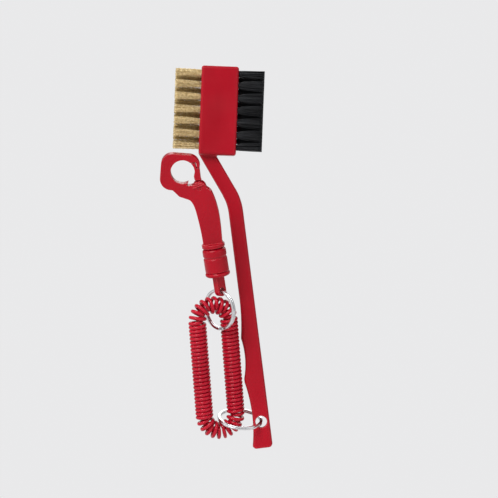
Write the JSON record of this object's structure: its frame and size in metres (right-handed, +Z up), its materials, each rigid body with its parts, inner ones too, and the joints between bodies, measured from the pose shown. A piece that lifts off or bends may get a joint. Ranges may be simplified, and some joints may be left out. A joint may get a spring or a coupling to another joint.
{
  "type": "club groove brush",
  "caption": "Red two-sided golf club brush with brass and nylon faces, a coiled stretch cord between two split rings, and a swivelling snap hook.",
  "frame": {"origin": "centre of the lanyard hole near the end of the handle, in the handle's mid-plane", "axes": "+Z up the length of the head, +X from the brass face towards the nylon face, -Y to the front, where the leash lies"},
  "size_m": [0.0643, 0.0474, 0.2017],
  "materials": {
    "handle_plastic": "moulded, satin gloss",
    "brass_wire": "drawn crimped wire, slightly tarnished",
    "nylon_bristle": "extruded filament",
    "anchor_wire": "flat drawn wire",
    "ring_steel": "nickel plated",
    "cord_plastic": "extruded elastic cord",
    "clip_plastic": "moulded, gloss"
  },
  "bodies": {
    "brush": {"handle_body": "handle_plastic", "brass_tufts_front": "brass_wire", "brass_tufts_middle": "brass_wire", "brass_tufts_back": "brass_wire", "nylon_tufts_front": "nylon_bristle", "nylon_tufts_middle": "nylon_bristle", "nylon_tufts_back": "nylon_bristle", "brass_anchors_front": "anchor_wire", "brass_anchors_middle": "anchor_wire", "brass_anchors_back": "anchor_wire", "nylon_anchors_front": "anchor_wire", "nylon_anchors_middle": "anchor_wire", "nylon_anchors_back": "anchor_wire"},
    "handle_ring": {"lanyard_ring": "ring_steel"},
    "cord": {"coil_cord": "cord_plastic"},
    "end_ring": {"clip_ring": "ring_steel"},
    "swivel": {"swivel_eye": "clip_plastic", "swivel_barrel": "clip_plastic"},
    "hook": {"hook_body": "clip_plastic", "gate_pin": "clip_plastic", "gate_spring": "ring_steel"},
    "gate": {"gate": "clip_plastic"}
  },
  "joints": [
    {"name": "handle_ring_swing", "type": "hinge", "parent": "brush", "child": "handle_ring", "pos_m": [0, 0, 0], "axis": [0, -1, 0], "range_deg": [0, 40]},
    {"name": "cord_swing", "type": "hinge", "parent": "handle_ring", "child": "cord", "pos_m": [-0.02243, 0, 0.00173], "axis": [-0.0287, -0.9272, -0.3735], "range_deg": [0, 60]},
    {"name": "cord_stretch", "type": "slide", "parent": "cord", "child": "end_ring", "axis": [-0.1097, -0.2236, 0.9685], "range_m": [0, 0.33], "stiffness_N_per_m": 8, "deforming": ["coil_cord"]},
    {"name": "clip_swing", "type": "hinge", "parent": "end_ring", "child": "swivel", "pos_m": [-0.02413, -0.01669, 0.06869], "axis": [0.7066, -0.7072, -0.0249], "range_deg": [-5, 75]},
    {"name": "hook_swivel", "type": "hinge", "parent": "swivel", "child": "hook", "pos_m": [-0.02413, -0.01669, 0.06869], "axis": [-0.1874, -0.221, 0.9571], "continuous": true},
    {"name": "gate_open", "type": "hinge", "parent": "hook", "child": "gate", "pos_m": [-0.03706, -0.02905, 0.12223], "axis": [0, -0.9744, -0.225], "range_deg": [0, 30], "stiffness_Nm_per_rad": 0.02, "deforming": ["gate_spring"]}
  ]
}
